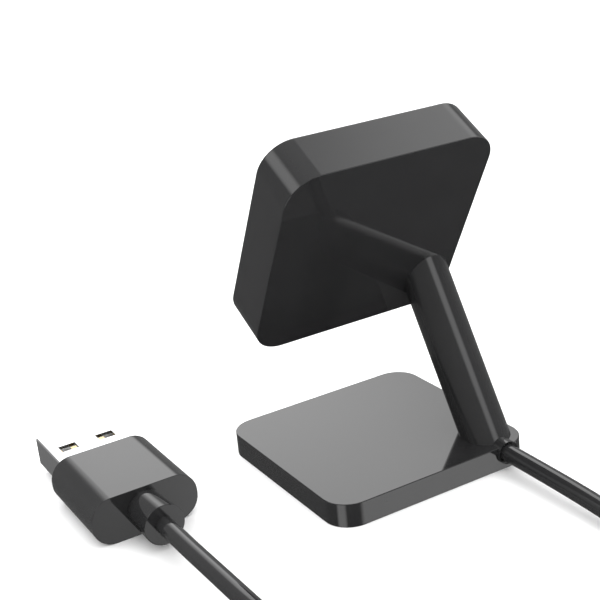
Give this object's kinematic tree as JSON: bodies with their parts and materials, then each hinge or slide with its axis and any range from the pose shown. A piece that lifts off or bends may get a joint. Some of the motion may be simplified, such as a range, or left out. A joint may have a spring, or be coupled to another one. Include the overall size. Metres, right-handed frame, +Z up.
{
  "type": "smartwatch charging dock",
  "caption": "Square weighted base and leaning stem carry a square tilted head with sprung charging pins; a thin lead ends in a flat plug.",
  "frame": {"origin": "middle of the base's underside, where the foot pad rests", "axes": "+Z up, -Y towards the watch side, +Y towards the lead, +X to the right seen from the watch side"},
  "size_m": [0.0615, 0.1363, 0.0522],
  "materials": {
    "gloss_black": "polished black moulding",
    "stem_black": "satin black rod",
    "plate_black": "matt black moulding",
    "pad_rubber": "soft grey-black silicone",
    "weight_steel": "plain stamped steel",
    "screw_steel": "plated steel",
    "board_green": "green solder mask",
    "part_black": "matt black package",
    "pin_insulator": "matt black insulator",
    "pin_brass": "gold-plated brass",
    "spring_steel": "drawn wire",
    "magnet_nickel": "nickel-plated magnet",
    "lead_sheath": "bare inner insulation",
    "cord_black": "smooth semi-gloss sheath",
    "tie_black": "hook-and-loop strap",
    "plug_black": "semi-gloss moulding",
    "plug_nickel": "bright nickel-plated sheet",
    "tongue_white": "white insulator",
    "contact_gold": "gold-plated strip"
  },
  "bodies": {
    "dock": {"base_cover": "gloss_black", "head_shell": "gloss_black", "cradle": "gloss_black", "stem": "stem_black", "base_plate": "plate_black", "foot_pad": "pad_rubber", "base_weight": "weight_steel", "base_screws": "screw_steel", "foot_screws": "screw_steel", "neck_screws": "screw_steel", "board_screws": "screw_steel", "charge_board": "board_green", "board_parts": "part_black", "pin_block": "pin_insulator", "pin_barrels": "pin_brass", "spring_1": "spring_steel", "spring_2": "spring_steel", "spring_3": "spring_steel", "spring_4": "spring_steel", "magnets": "magnet_nickel", "inner_lead": "lead_sheath", "cord_gland": "cord_black", "cord_dock_run": "cord_black", "cord_plug_run": "cord_black", "cord_coil": "cord_black", "cord_tie": "tie_black", "plug_mould": "plug_black", "plug_shell": "plug_nickel", "plug_tongue": "tongue_white", "plug_contacts": "contact_gold"},
    "pin_1": {"plunger_1": "pin_brass"},
    "pin_2": {"plunger_2": "pin_brass"},
    "pin_3": {"plunger_3": "pin_brass"},
    "pin_4": {"plunger_4": "pin_brass"}
  },
  "joints": [
    {"name": "pin_1_press", "type": "slide", "parent": "dock", "child": "pin_1", "axis": [0, 0.866, -0.5], "range_m": [0, 0.0008], "stiffness_N_per_m": 400, "springref_m": -0.0005, "deforming": ["spring_1"]},
    {"name": "pin_2_press", "type": "slide", "parent": "dock", "child": "pin_2", "axis": [0, 0.866, -0.5], "range_m": [0, 0.0008], "stiffness_N_per_m": 400, "springref_m": -0.0005, "deforming": ["spring_2"]},
    {"name": "pin_3_press", "type": "slide", "parent": "dock", "child": "pin_3", "axis": [0, 0.866, -0.5], "range_m": [0, 0.0008], "stiffness_N_per_m": 400, "springref_m": -0.0005, "deforming": ["spring_3"]},
    {"name": "pin_4_press", "type": "slide", "parent": "dock", "child": "pin_4", "axis": [0, 0.866, -0.5], "range_m": [0, 0.0008], "stiffness_N_per_m": 400, "springref_m": -0.0005, "deforming": ["spring_4"]}
  ]
}
